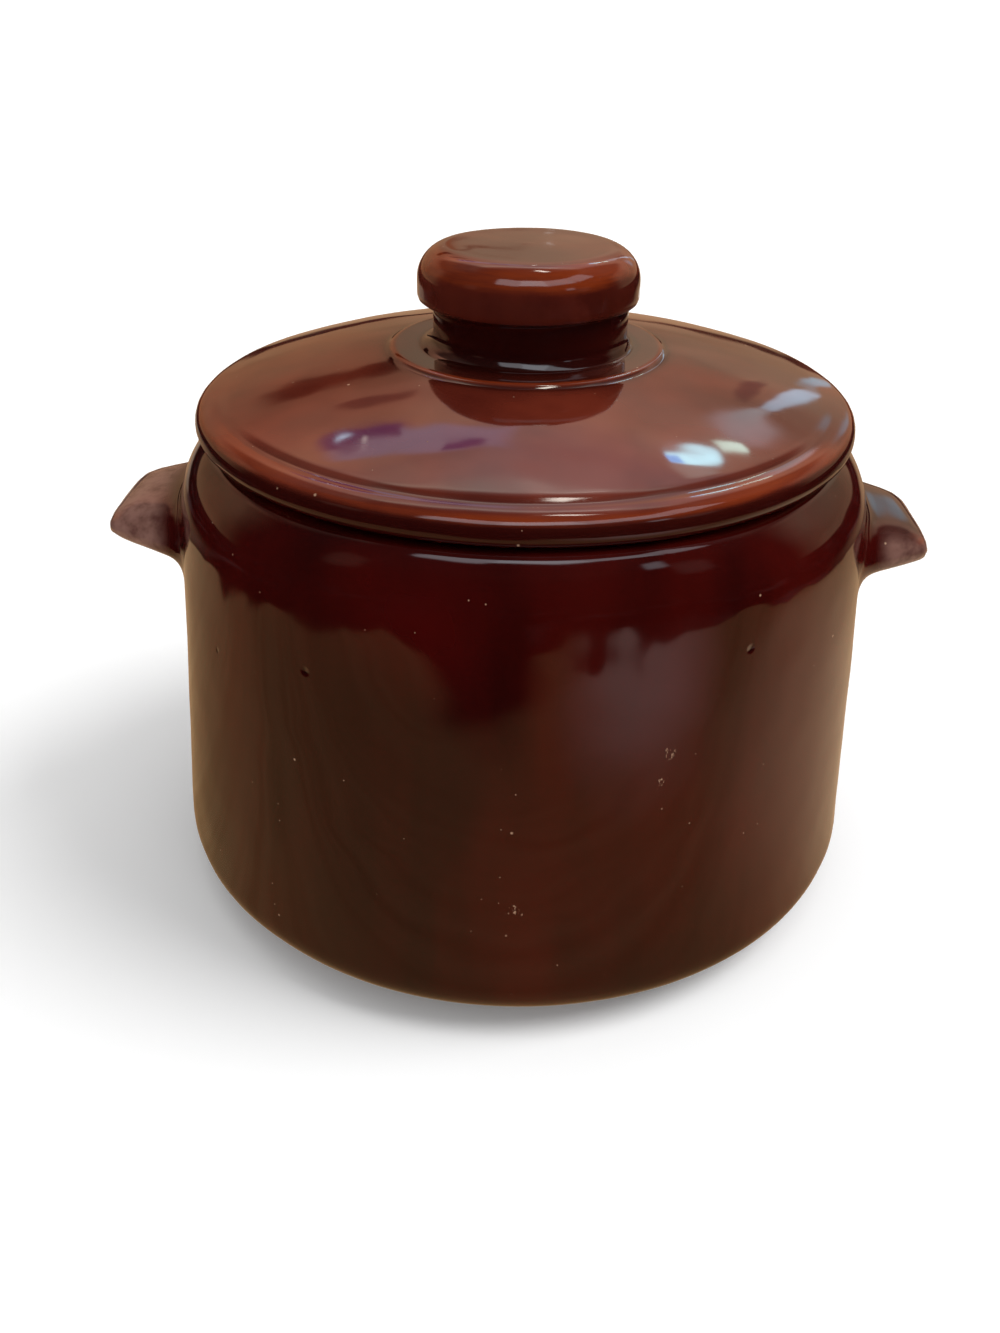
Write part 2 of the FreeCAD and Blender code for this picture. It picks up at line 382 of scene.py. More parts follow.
def lug_distance(p, shift):
    """Rough distance of points from a lug's skin, negative inside it."""
    c, s = math.cos(shift[3]), math.sin(shift[3])
    p = (p - shift[:3] - LUG_HINGE) @ np.array(((c, 0, -s), (0, 1, 0), (s, 0, c))) + LUG_HINGE
    faces = [(p - np.array(at)) @ unit(np.array(facing)) for at, facing in LUG_FACES]
    return LUG_SOFT * np.log(sum(np.exp(f / LUG_SOFT) for f in faces))


def with_lugs(grid, profile):
    """The outer skin drawn out over both lugs, with a hollow sweep where they leave the wall."""
    height, radius = profile[:, 1], profile[:, 0]

    def distance(p, shift):
        body = np.hypot(p[:, 0], p[:, 1]) - np.interp(p[:, 2], height, radius)
        lug = lug_distance(p, shift)
        near = np.clip(0.5 + (lug - body) / (2 * ROOT_BLEND), 0, 1)
        return lug + (body - lug) * near - ROOT_BLEND * near * (1 - near)

    for side, shift in LUG_SHIFTS.items():
        flip = np.array((side, 1, 1))
        mine = (grid[..., 0] * side > LUG_ZONE[0]) & (abs(grid[..., 1]) < LUG_ZONE[1])
        mine &= grid[..., 2] > LUG_ZONE[2]
        start = grid[mine] * flip - LUG_CORE
        length = np.linalg.norm(start, axis=1)
        way = start / length[:, None]
        near, far = length - 0.5, length + LUG_REACH
        for _ in range(LUG_HALVINGS):
            middle = (near + far) / 2
            outside = distance(LUG_CORE + way * middle[:, None], np.array(shift)) > 0
            far = np.where(outside, middle, far)
            near = np.where(outside, near, middle)
        grid[mine] = (LUG_CORE + way * np.maximum(near, length)[:, None]) * flip
    return grid


# ---- Meshes -------------------------------------------------------------------------------------

def skin(name, grid, fields, material):
    """A closed mesh from a turned grid whose first and last rows are single points."""
    rows, count = grid.shape[:2]
    points = np.concatenate([grid[:1, 0], grid[1:-1].reshape(-1, 3), grid[-1:, 0]])
    inner = rows - 2
    last = len(points) - 1

    def at(i, j):
        return 1 + i * count + j % count

    faces = [(0, at(0, j + 1), at(0, j)) for j in range(count)]
    for i in range(inner - 1):
        faces += [(at(i, j), at(i, j + 1), at(i + 1, j + 1), at(i + 1, j)) for j in range(count)]
    faces += [(last, at(inner - 1, j), at(inner - 1, j + 1)) for j in range(count)]
    mesh = bpy.data.meshes.new(name)
    mesh.from_pydata((points * MM).tolist(), [], faces)
    for field, values in fields.items():
        flat = np.concatenate([values[:1, 0], values[1:-1].ravel(), values[-1:, 0]])
        made = mesh.attributes.new(field, "FLOAT", "POINT")
        made.data.foreach_set("value", flat.astype(np.float32))
    mesh.materials.append(material)
    mesh.shade_smooth()
    mesh.update()
    piece = bpy.data.objects.new(name, mesh)
    bpy.context.scene.collection.objects.link(piece)
    return piece


BODY_BEND = 0.012                 # the bend of the round body itself, in 1/mm
# Where the glaze runs off an edge or pools, as shares of the full effect.
EDGE_RUN_OFF = 0.80
KNOB_RUN_OFF = 0.78
# Dark glaze hung on upright faces, on the lid and on the knob's left and right. It is partly painted shade:
# on the neck under the knob, and on the knob's right side, which is painted darker than its left.
LID_THICK_AND_SHADE = 0.95
KNOB_THICK_AND_SHADE = (0.28, 0.68)         # at the knob's left and at its right
# The lugs' paler, thinner coat, partly a painted reflection of the room on their upper faces; the left-hand
# lug has more of it.
FINE_AND_SHEEN_LEFT = 1.15
FINE_AND_SHEEN_RIGHT = 0.85
FINE_AND_SHEEN_RIGHT_TOP = 0.78             # how much less of it the right-hand lug's upper face has
FINE_AND_SHEEN_RIGHT_TIP = 0.55             # and its tip
# Where the clay is bare, or the coat is thinner and paler with a painted reflection on it, in millimetres; a
# pair is where it fades from and to.
WIPED_FOOT = (0.6, 1.6)           # height above the foot plane
WIPED_RIM = (1.2, 2.0)            # away from the middle of the band on the rim
WIPED_MIDDLE = 1.6                # which runs this far outside the mouth
WIPED_ROWS = 6                    # the band starts in the last rows of the outside
LUG_STANDS_OUT = (3.0, 9.0)       # out of the wall
LUG_TIP = (106, 112)              # along X


def glaze_fields(grid, bare, thick_and_shade=0.0, fine=0.0):
    """How thin the glaze has run off outward bends, how deep it lies in hollows, where it's wiped.

    The argument for upright faces says how much dark glaze hangs on them, partly as painted shade, and fine
    is where the coat is thinner and paler, partly as a painted reflection.
    """
    across, round_ = bend(grid, "across"), bend(grid, "round")
    sharp = eased(np.maximum(across, 0) + np.maximum(round_ - BODY_BEND, 0), 3)
    hollow = eased(np.maximum(-across, 0) + np.maximum(-round_ - BODY_BEND, 0), 4)
    rise = normals(grid)[..., 2]
    return {
        "thin": step(sharp, 0.05, 0.30) * (0.10 + 0.90 * step(rise, 0.25, 0.85)),
        "deep_and_shade": step(hollow, 0.03, 0.20),
        "bare": bare,
        "thick_and_shade": thick_and_shade * (1 - step(rise, 0.35, 0.92)),
        "fine": fine + 0 * rise,
    }


# ---- Shader helpers -----------------------------------------------------------------------------

class Shader:
    """Short ways to add nodes to the material or world that owns them."""

    def __init__(self, owner, output="OutputMaterial"):
        self.owner = owner
        owner.use_nodes = True
        self.tree = owner.node_tree
        self.tree.nodes.clear()
        self.out = self.tree.nodes.new("ShaderNode" + output)

    def put(self, socket, value):
        if isinstance(value, bpy.types.NodeSocket):
            self.tree.links.new(value, socket)
        elif value is not None:
            socket.default_value = value

    def node(self, kind, inputs=None, **settings):
        made = self.tree.nodes.new("ShaderNode" + kind)
        for key, value in settings.items():
            setattr(made, key, value)
        for key, value in (inputs or {}).items():
            self.put(made.inputs[key], value)
        return made

    def maths(self, operation, a, b=None):
        return self.node("Math", {0: a, 1: b}, operation=operation).outputs[0]

    def mix(self, share, a, b, blend="MIX"):
        """Colour a with a share of colour b over it."""
        return self.node("Mix", {0: share, 6: a, 7: b}, data_type="RGBA", blend_type=blend).outputs[2]

    def times(self, share, a, b):
        """Colour a, multiplied by a share of colour b."""
        return self.mix(share, a, b, blend="MULTIPLY")

    def field(self, name):
        return self.node("Attribute", attribute_name=name).outputs["Fac"]

    def place(self, stretch=(1, 1, 1), shift=(0, 0, 0)):
        where = self.node("TexCoord").outputs["Object"]
        return self.node("Mapping", {"Vector": where, "Scale": stretch, "Location": shift}).outputs[0]

    def noise(self, size, place, detail=2.0, rough=0.5, warp=0.0):
        """Noise whose lumps are about size metres wide, from 0 to 1."""
        made = self.node("TexNoise", {"Vector": place, "Scale": 1 / size, "Detail": detail,
                                      "Roughness": rough, "Distortion": warp})
        return made.outputs["Fac"]

    def between(self, value, low, high):
        """0 below low, 1 above high, and smooth between them."""
        made = self.node("MapRange", {"Value": value, "From Min": low, "From Max": high},
                         interpolation_type="SMOOTHSTEP")
        return made.outputs["Result"]

    def dots(self, spacing, size, place, share):
        """Round dots about size metres wide, in a share of the cells that are spacing wide."""
        cells = self.node("TexVoronoi", {"Vector": place, "Scale": 1 / spacing})
        near = self.between(cells.outputs["Distance"], 0.5 * size / spacing, 0.2 * size / spacing)
        pick = self.node("SeparateColor", {"Color": cells.outputs["Color"]}).outputs[0]
        return self.maths("MULTIPLY", near, self.maths("LESS_THAN", pick, share))

    def near(self, point, radius):
        """1 at a point of the object and 0 beyond a radius, both in millimetres."""
        where = self.node("TexCoord").outputs["Object"]
        at = tuple(v * MM for v in point)
        off = self.node("VectorMath", {0: where, 1: at}, operation="DISTANCE").outputs["Value"]
        return self.between(off, radius * MM, 0.0)

    def near_any(self, marks):
        """near() for whichever of some marks is closest, each a point and a radius."""
        found = self.near(*marks[0])
        for mark in marks[1:]:
            found = self.maths("MAXIMUM", found, self.near(*mark))
        return found

    def swing(self, noise, amount):
        """The noise as an amount to add, half of it to each side of 0."""
        return self.maths("MULTIPLY", self.maths("SUBTRACT", noise, 0.5), amount)

    def bump(self, height, strength, distance, below=None):
        made = self.node("Bump", {"Height": height, "Strength": strength, "Distance": distance})
        if below is not None:
            self.put(made.inputs["Normal"], below)
        return made.outputs["Normal"]

    def done(self, surface):
        self.tree.links.new(surface, self.out.inputs["Surface"])
        return self.owner


def rgb(r, g, b):
    return (r, g, b, 1.0)


# ---- Glaze --------------------------------------------------------------------------------------

GLAZE_BREAK = rgb(0.1935, 0.0270, 0.0045)
# Dark glaze on upright faces, which also serves as painted shade.
GLAZE_THICK_AND_SHADE = rgb(0.0192, 0.0013, 0.0009)
# The lugs' paler coat, which also serves as a painted reflection.
GLAZE_FINE_AND_SHEEN = rgb(0.240, 0.122, 0.096)
# Pooled glaze in hollows and pits, which also serves as painted shade on the lid's pad.
GLAZE_DEEP_AND_SHADE = rgb(0.0085, 0.0010, 0.0010)
GLAZE_RED = rgb(0.0880, 0.0028, 0.0020)
GLAZE_FLECK = rgb(0.420, 0.260, 0.170)
CLAY = rgb(0.460, 0.330, 0.215)
CLAY_TOASTED = rgb(0.240, 0.120, 0.060)
# Each piece's glaze: darkest and reddest.
POT_TONES = (rgb(0.0165, 0.0011, 0.0009), rgb(0.0430, 0.0020, 0.0013))
LID_TONES = (rgb(0.066, 0.0090, 0.0050), rgb(0.134, 0.0205, 0.0098))
# Marks on the pot's front, in millimetres: blisters in the glaze, and patches of fine scratches.
PITS = [((-45.2, -79.0, 92.6), 1.5), ((52.3, -73.9, 98.8), 1.4), ((-70.7, -58.3, 85.2), 0.9)]
SCUFFS = [((35.9, -84.9, 78.2), 5.0), ((33.9, -86.4, 71.0), 4.5), ((2.5, -95.2, 39.2), 5.0),
          ((86.7, -36.6, 53.2), 4.0)]
RED_PATCH = ((-20.0, -87.0, 110.0), 26.0)


def glaze_colour(s, tones, marked):
    """The glaze without its flecks: clouds and runs, dark in hollows and in painted shade on the lid's pad,
    orange where it ran thin.
    """
    clouds = s.noise(0.050, s.place(stretch=(1, 1, 0.40)), detail=3, warp=0.6)
    runs = s.noise(0.012, s.place(stretch=(1, 1, 0.08), shift=(3, 0, 0)), detail=2)
    shade = s.maths("ADD", s.maths("MULTIPLY", clouds, 0.72), s.maths("MULTIPLY", runs, 0.28))
    colour = s.mix(s.between(shade, 0.34, 0.68), *tones)
    if marked:
        colour = s.mix(s.maths("MULTIPLY", s.near(*RED_PATCH), clouds), colour, GLAZE_RED)
    # Dark where the glaze pooled in hollows, and painted shade on the lid's pad.
    colour = s.mix(s.maths("MULTIPLY", s.field("deep_and_shade"), 0.8), colour, GLAZE_DEEP_AND_SHADE)

    uneven = s.noise(0.006, s.place(shift=(2, 8, 1)), detail=3, rough=0.6)
    # The lugs' paler coat, partly a painted reflection on their upper faces.
    colour = s.mix(s.maths("MULTIPLY", s.field("fine"), s.between(uneven, 0.05, 0.70)), colour, GLAZE_FINE_AND_SHEEN)
    # Dark glaze on upright faces, partly painted shade on the lid's neck and on the knob's right side.
    thick_and_shade = s.field("thick_and_shade")
    hung = s.between(s.maths("ADD", thick_and_shade, s.swing(uneven, 0.9)), 0.22, 0.55)
    colour = s.mix(s.maths("MULTIPLY", thick_and_shade, hung), colour, GLAZE_THICK_AND_SHADE)

    thin = s.field("thin")
    streaks = s.noise(0.0030, s.place(stretch=(0.16, 0.16, 2.4)), detail=3, rough=0.65)
    patches = s.noise(0.030, s.place(shift=(9, 1, 4)), detail=2)
    ragged = s.maths("ADD", s.maths("ADD", thin, s.swing(streaks, 0.75)), s.swing(patches, 1.1))
    broken = s.maths("MULTIPLY", s.maths("POWER", thin, 0.7), s.between(ragged, 0.25, 1.0))
    return s.mix(broken, colour, GLAZE_BREAK)


def pale_spots(s, marked):
    """Where the small pale flecks are, and the scratches on the marked piece."""
    flecks = s.dots(0.0085, 0.0009, s.place(), 0.30)
    specks = s.dots(0.0036, 0.00045, s.place(shift=(7, 2, 5)), 0.20)
    spots = s.maths("MAXIMUM", flecks, specks)
    if not marked:
        return spots
    fine = s.noise(0.0006, s.place(stretch=(1, 1, 0.45)), detail=2, rough=0.7)
    worn = s.maths("MULTIPLY", fine, s.maths("POWER", s.near_any(SCUFFS), 0.35))
    return s.maths("MAXIMUM", spots, s.between(worn, 0.54, 0.62))


def glaze(name, tones, marked):
    """Iron-red gloss glaze that breaks orange on edges, with bare stoneware where it was wiped."""
    s = Shader(bpy.data.materials.new(name))
    colour = glaze_colour(s, tones, marked)
    spots = pale_spots(s, marked)
    if marked:
        pitted = s.near_any(PITS)
        colour = s.mix(pitted, colour, GLAZE_DEEP_AND_SHADE)
    colour = s.mix(s.maths("MULTIPLY", spots, 0.8), colour, GLAZE_FLECK)

    grit = s.noise(0.0012, s.place(), detail=4, rough=0.7)
    toast = s.noise(0.012, s.place(), detail=3)
    clay = s.mix(s.between(toast, 0.35, 0.75), CLAY, CLAY_TOASTED)
    clay = s.mix(s.between(grit, 0.58, 0.72), clay, CLAY_TOASTED)
    wiped = s.between(s.maths("ADD", s.field("bare"), s.swing(toast, 0.5)), 0.42, 0.58)
    colour = s.mix(wiped, colour, clay)

    smears = s.noise(0.030, s.place(stretch=(1, 1, 0.5), shift=(1, 4, 2)), detail=4, rough=0.6)
    gloss = s.node("MapRange", {"Value": smears, "From Min": 0.3, "From Max": 0.75,
                                "To Min": 0.035, "To Max": 0.10}).outputs["Result"]
    rough = s.node("Mix", {"Factor": wiped}, data_type="FLOAT")
    s.put(rough.inputs[2], gloss)
    s.put(rough.inputs[3], 0.85)

    normal = s.bump(s.noise(0.007, s.place(), detail=0), 0.12, 0.00020)
    normal = s.bump(s.noise(0.018, s.place(shift=(5, 5, 5)), detail=1), 0.25, 0.0006, normal)
    normal = s.bump(s.maths("MULTIPLY", spots, -1), 0.4, 0.00012, normal)
    if marked:
        normal = s.bump(s.maths("MULTIPLY", pitted, -1), 0.8, 0.0006, normal)
    normal = s.bump(s.maths("MULTIPLY", grit, wiped), 0.6, 0.0003, normal)

    surface = s.node("BsdfPrincipled", {
        "Base Color": colour,
        "Roughness": rough.outputs[0],
        "IOR": 1.52,
        "Normal": normal,
    })
    return s.done(surface.outputs[0])


# ---- The pot and the lid ------------------------------------------------------------------------

def pot_gap(r, z):
    """The least gap between rows of the pot's outside: finer at the foot, the lugs and the shoulder."""
    fine = LUG_LOW[2] - 6 < z < LUG_HIGH[2] + 8 or z > RIM - SHOULDER or z < 6
    return POT_GAPS[0] if fine else POT_GAPS[1]


def pot_wiped(grid, r, start, end):
    """1 where the pot is bare: under the foot and on the rim. The outside is rows start to end."""
    bare = np.zeros(grid.shape[:2])
    bare[:start] = 1
    bare[start:end] = 1 - step(grid[start:end, :, 2], *WIPED_FOOT)
    top = slice(end - WIPED_ROWS, None)
    on_rim = 1 - step(abs(r[top] - MOUTH - WIPED_MIDDLE), *WIPED_RIM)
    bare[top] = np.maximum(bare[top], on_rim * (grid[top, :, 2] > RIM - 1))
    return bare


def coat_and_sheen_on_lugs(grid, r, outside):
    """How much of the lugs' thinner coat, partly a painted reflection, each point has."""
    out_by = r - np.interp(grid[..., 2], outside[:, 1], outside[:, 0])
    on_lugs = np.where(abs(grid[..., 0]) > 60, step(out_by, *LUG_STANDS_OUT), 0)
    # The right-hand lug's upper face and tip get less of the painted reflection.
    on_right = FINE_AND_SHEEN_RIGHT - FINE_AND_SHEEN_RIGHT_TOP * step(normals(grid)[..., 2], 0.5, 0.95)
    on_right *= 1 - FINE_AND_SHEEN_RIGHT_TIP * step(grid[..., 0], *LUG_TIP)
    return on_lugs * np.where(grid[..., 0] < 0, FINE_AND_SHEEN_LEFT, on_right)


def make_pot(material):
    under, outside, side, inside = pot_skins()
    under = spaced(under, UNDER_STEP, relax=0)
    outside = thinned(spaced(outside, PROFILE_STEP), pot_gap)
    # The inside starts from the outside's last row, which isn't made twice.
    inside = spaced(inside, INSIDE_STEP, relax=0)[1:]
    angles = lug_angles(*POT_ANGLES, LUG_ANGLES)
    outer = turned(outside, angles)
    near = outside.copy()
    near[:, 0] = np.minimum(outside[:, 0], np.interp(outside[:, 1], side[:, 1], side[:, 0]))
    aside = step(abs(np.cos(angles)), SIDE_FROM, SIDE_TO)
    narrower = 1 + aside * ((near[:, 0] - outside[:, 0]) / np.maximum(outside[:, 0], 1))[:, None]
    outer[..., :2] *= narrower[..., None]
    outer = with_lugs(outer, near)
    grid = np.concatenate([turned(under, angles), outer, turned(inside, angles)])
    start, end = len(under), len(under) + len(outside)
    drift = np.zeros(grid.shape[:2])
    drift[start:end] = hand_swell(outer, POT_SWELL)
    hold = step(grid[..., 2], 1, 12) * (1 - step(grid[..., 2], RIM - 6, RIM - 1))
    grid += normals(grid) * (drift * hold)[..., None]
    r = np.hypot(grid[..., 0], grid[..., 1])
    fields = glaze_fields(grid, pot_wiped(grid, r, start, end), fine=coat_and_sheen_on_lugs(grid, r, outside))
    # The glaze stayed thick over the sharp turn under the lid.
    fields["thin"] *= 1 - step(grid[..., 2], RIM - 7, RIM - 4) * (r > MOUTH + RIM_FLAT + 0.5)
    return skin("glazed_pot", leaned(grid), fields, material)


def lid_gap(r, z):
    """The least gap between rows of the lid: wider on the plain dome and in the hollow under it."""
    if z < RIM + 0.1:
        return LID_SEAT_GAP
    under = z < dome(min(r, LID_R)) - 3
    if under:
        return LID_UNDER_GAPS[1] if r < RING_IN - 3 else LID_UNDER_GAPS[0]
    on_dome = PAD_R + 2 < r < GROOVE_R - 4
    return LID_GAPS[1] if on_dome else LID_GAPS[0]


def lid_fields(grid, r, height, around):
    """The lid's glaze, from each point's radius, height and angle before the hand's mark on them."""
    under = height < RIM + 0.4
    seat = under & (r > RING_OUT - 0.5) & (r < MOUTH + RIM_FLAT + 1)
    bare = eased(np.where(seat | (height < RING_BOTTOM + 1.0), 1.0, 0.0), 2)
    knob = (height > KNOB_UNDER) & (r < PAD_R)
    # The knob's right side is painted darker than its left, as shade.
    knob_thick_and_shade = KNOB_THICK_AND_SHADE[0] + (KNOB_THICK_AND_SHADE[1] - KNOB_THICK_AND_SHADE[0]) * step(grid[..., 0], 6, 20)
    fields = glaze_fields(grid, bare, thick_and_shade=np.where(knob, knob_thick_and_shade, LID_THICK_AND_SHADE))
    rise = normals(grid)[..., 2]
    above = height > RIM + 2
    # The glaze ran thin over the lid's edge in places and over the knob's shoulder; the pad is dark with
    # pooled glaze and with painted shade under the knob, heaviest at its front.
    run_off = step(r, GROOVE_R - 0.2, GROOVE_R + 1.0) * step(rise, 0.40, 0.80) * above
    run_off *= 0.55 + 0.45 * np.cos(4 * (around + math.radians(135)))
    knob_edge = step(rise, 0.05, 0.45) * (1 - step(rise, 0.93, 1.0))
    knob_edge *= height > KNOB_TOP - KNOB_TOP_ROUND - 1
    run_off = np.maximum(EDGE_RUN_OFF * run_off, KNOB_RUN_OFF * knob_edge)
    fields["thin"] = np.maximum(fields["thin"], run_off)
    # Painted shade on the pad under the knob, heaviest at the front, over pooled glaze.
    pad = (r < PAD_R - 1.2) & (r > NECK_R + 0.5) & above & (height < PAD_TOP + 1.0)
    fields["deep_and_shade"] = np.maximum(fields["deep_and_shade"], pad * (0.50 - 0.30 * np.sin(around)))
    return fields


def make_lid(material):
    profile = thinned(spaced(lid_profile(), PROFILE_STEP), lid_gap)
    grid = turned(profile, even_angles(LID_TURNS))
    r = np.hypot(grid[..., 0], grid[..., 1])
    height = grid[..., 2].copy()
    level = step(r, RING_OUT + 6, RING_OUT + 11)
    free = np.maximum(level * step(r, RING_OUT, LID_R), step(height, RIM + 0.5, RIM + 4))
    around = np.arctan2(grid[..., 1], grid[..., 0])
    groove = np.exp(-((r - GROOVE_R) / GROOVE_WIDTH) ** 2) * (height > RIM + 4)
    groove *= step(-np.sin(around), 0.0, 0.8)
    swell = hand_swell(grid, LID_SWELL)
    grid += normals(grid) * (swell * free - GROOVE_DEPTH * groove)[..., None]
    grid[..., 2] += (LID_TILT[0] * grid[..., 0] + LID_TILT[1] * grid[..., 1]) * np.maximum(free, level)
    neck = step(height, PAD_TOP + 0.1, PAD_TOP + 1.2) * (1 - step(height, KNOB_UNDER - 1.5, KNOB_UNDER - 0.2))
    grid[..., 0] += NECK_SHIFT * neck * (r < NECK_R + 3)
    fields = lid_fields(grid, r, height, around)
    return skin("glazed_lid", leaned(grid), fields, material)


pot = make_pot(glaze("pot_glaze", POT_TONES, marked=True))
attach(pot, "pot")
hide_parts("pot_body", "handle_right", "handle_left")

lid = make_lid(glaze("lid_glaze", LID_TONES, marked=False))
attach(lid, "lid")
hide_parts("lid", "lid_knob")


# ---- Studio -------------------------------------------------------------------------------------

def oblong(half_width, half_height, z=0.0):
    """Corners of a flat oblong about the origin."""
    w, h = half_width, half_height
    return [(-w, -h, z), (w, -h, z), (w, h, z), (-w, h, z)]


def plane(name, corners, material):
    mesh = bpy.data.meshes.new(name)
    mesh.from_pydata(corners, [], [tuple(range(len(corners)))])
    mesh.materials.append(material)
    made = bpy.data.objects.new(name, mesh)
    bpy.context.scene.collection.objects.link(made)
    return made


def seen_plainly(s):
    """1 for rays from the camera, a glossy surface or glass, and 0 for the light that falls on things."""
    rays = s.node("LightPath").outputs
    direct = s.maths("MAXIMUM", rays["Is Camera Ray"], rays["Is Glossy Ray"])
    return s.maths("MAXIMUM", direct, rays["Is Transmission Ray"])


PAPER = 0.97                      # the floor's grey level, where 1 is white
PAPER_GLOW = 0.09                 # and how much it glows, so that it stays white in the open
FLOOR_HALF = 14.0                 # metres
WORLD_LIGHT = 0.56


def make_floor():
    """White floor that keeps the pot's shadow."""
    s = Shader(bpy.data.materials.new("floor"))
    paper = s.node("BsdfDiffuse", {"Color": rgb(PAPER, PAPER, PAPER)})
    level = s.maths("MULTIPLY", seen_plainly(s), PAPER_GLOW)
    lift = s.node("Emission", {"Color": rgb(1, 1, 1), "Strength": level})
    both = s.node("AddShader", {0: paper.outputs[0], 1: lift.outputs[0]})
    plane("floor", oblong(FLOOR_HALF, FLOOR_HALF), s.done(both.outputs[0]))


def make_world():
    """White to look at, and a plain soft light on things."""
    s = Shader(bpy.data.worlds.new("studio"), "OutputWorld")
    level = s.node("MapRange", {"Value": seen_plainly(s), "To Min": WORLD_LIGHT, "To Max": 1.0})
    back = s.node("Background", {"Color": rgb(1, 1, 1), "Strength": level.outputs["Result"]})
    bpy.context.scene.world = s.done(back.outputs[0])


def only_in_gloss(thing):
    """A card that lights nothing and isn't seen, and only shows in what is glossy."""
    thing.visible_camera = False
    thing.visible_diffuse = False
    thing.visible_transmission = False
    thing.visible_volume_scatter = False
    thing.visible_shadow = False


TABLE_AT = (0.02, -0.02)
TABLE_R = 0.335
TABLE_HEIGHT = 0.0004
TABLE_HALF = 12.0                 # the card shows the floor beyond the table too
# What lies on the table as the glaze shows it: a shadow, a pool of light and a lighter side, each at
# a place and with the radii between which it fades.
TABLE_SHADOW = ((-0.049, -0.355, 0), 0.12, 0.06)
TABLE_LIGHT = ((0.185, -0.275, 0), 0.15, 0.02)
TABLE_SIDE = ((0.20, 0.00, 0), 0.17, 0.04)
# Lighter places on the floor beyond the table, each with its radii and colour.
FLOOR_PATCHES = [
    ((-0.43, 0.51, 0), 0.13, 0.09, (0.42, 0.30, 0.22)),
    ((0.22, 0.63, 0), 0.07, 0.03, (1.3, 1.15, 1.0)),
]


def make_table():
    """A round wooden board under the pot and the floor beyond it, as the gloss shows them."""
    s = Shader(bpy.data.materials.new("table_card"))
    where = s.node("TexCoord").outputs["Object"]

    def distance(point):
        return s.node("VectorMath", {0: where, 1: (*point[:2], TABLE_HEIGHT)},
                      operation="DISTANCE").outputs["Value"]

    along = s.node("SeparateXYZ", {0: where}).outputs["Y"]
    behind = s.between(along, -0.10, 0.25)
    scallop = s.noise(0.11, where, detail=2)
    edge = s.maths("ADD", distance(TABLE_AT), s.swing(scallop, 0.13))
    board = s.between(edge, TABLE_R + 0.006, TABLE_R - 0.006)
    place, outer, inner = TABLE_SHADOW
    board = s.maths("MULTIPLY", board, s.between(distance(place), inner, outer))
    grain = s.noise(0.022, s.place(stretch=(0.06, 2.4, 1)), detail=4, rough=0.6)
    wood = s.mix(s.between(grain, 0.32, 0.68), rgb(0.310, 0.175, 0.075), rgb(0.390, 0.232, 0.108))
    wood = s.mix(behind, wood, rgb(0.56, 0.35, 0.19))
    place, outer, inner = TABLE_SIDE
    wood = s.mix(s.between(distance(place), outer, inner), wood, rgb(0.70, 0.47, 0.29))
    place, outer, inner = TABLE_LIGHT
    wood = s.mix(s.between(distance(place), outer, inner), wood, rgb(0.95, 0.66, 0.60))
    dim = s.noise(0.22, where, detail=2)
    beyond = s.mix(s.between(dim, 0.52, 0.72), rgb(0.010, 0.004, 0.004), rgb(0.10, 0.06, 0.06))
    across = s.maths("ABSOLUTE", s.node("SeparateXYZ", {0: where}).outputs["X"])
    far = s.maths("MULTIPLY", s.between(along, 0.05, 0.40), s.between(across, 0.52, 0.34))
    beyond = s.mix(far, beyond, rgb(0.50, 0.30, 0.17))
    for place, outer, inner, tint in FLOOR_PATCHES:
        beyond = s.mix(s.between(distance(place), outer, inner), beyond, rgb(*tint))
    glow = s.node("Emission", {"Color": s.mix(board, beyond, wood), "Strength": 1.0})
    card = plane("table_card", oblong(TABLE_HALF, TABLE_HALF, TABLE_HEIGHT), s.done(glow.outputs[0]))
    only_in_gloss(card)


def ramp(s, value, stops):
    """Colours that follow a value, as (value, colour) stops."""
    made = s.node("ValToRGB", {"Fac": value})
    band = made.color_ramp
    while len(band.elements) < len(stops):
        band.elements.new(0.5)
    for element, (at, colour) in zip(band.elements, stops):
        element.position = at
        element.color = rgb(*colour)
    return made.outputs["Color"]


# The room as the gloss shows it: colours by the sine of the elevation, behind the pot and before it,
# and what the left half of the part behind is multiplied by.
ROOM_BEHIND = [
    (0.00, (0.54, 0.33, 0.20)),
    (0.10, (0.49, 0.31, 0.19)),
    (0.28, (0.62, 0.44, 0.30)),
    (0.44, (0.82, 0.50, 0.35)),
    (0.57, (1.35, 0.82, 0.61)),
    (0.66, (1.60, 0.99, 0.74)),
    (0.74, (1.10, 0.80, 0.80)),
    (0.81, (1.35, 1.05, 1.04)),
    (0.85, (1.90, 1.75, 1.60)),
    (0.89, (0.50, 0.36, 0.34)),
    (0.94, (0.12, 0.07, 0.07)),
    (1.00, (0.10, 0.06, 0.06)),
]
ROOM_LEFT = [
    (0.00, (0.90, 0.80, 0.70)),
    (0.20, (0.78, 0.62, 0.52)),
    (0.57, (0.85, 0.60, 0.52)),
    (0.76, (1.30, 1.05, 0.85)),
    (1.00, (1.00, 1.00, 1.00)),
]
ROOM_BEFORE = [
    (0.00, (0.020, 0.008, 0.008)),
    (0.55, (0.040, 0.018, 0.018)),
    (0.85, (0.06, 0.03, 0.03)),
    (1.00, (0.10, 0.06, 0.06)),
]
ROOM_R = 10.0


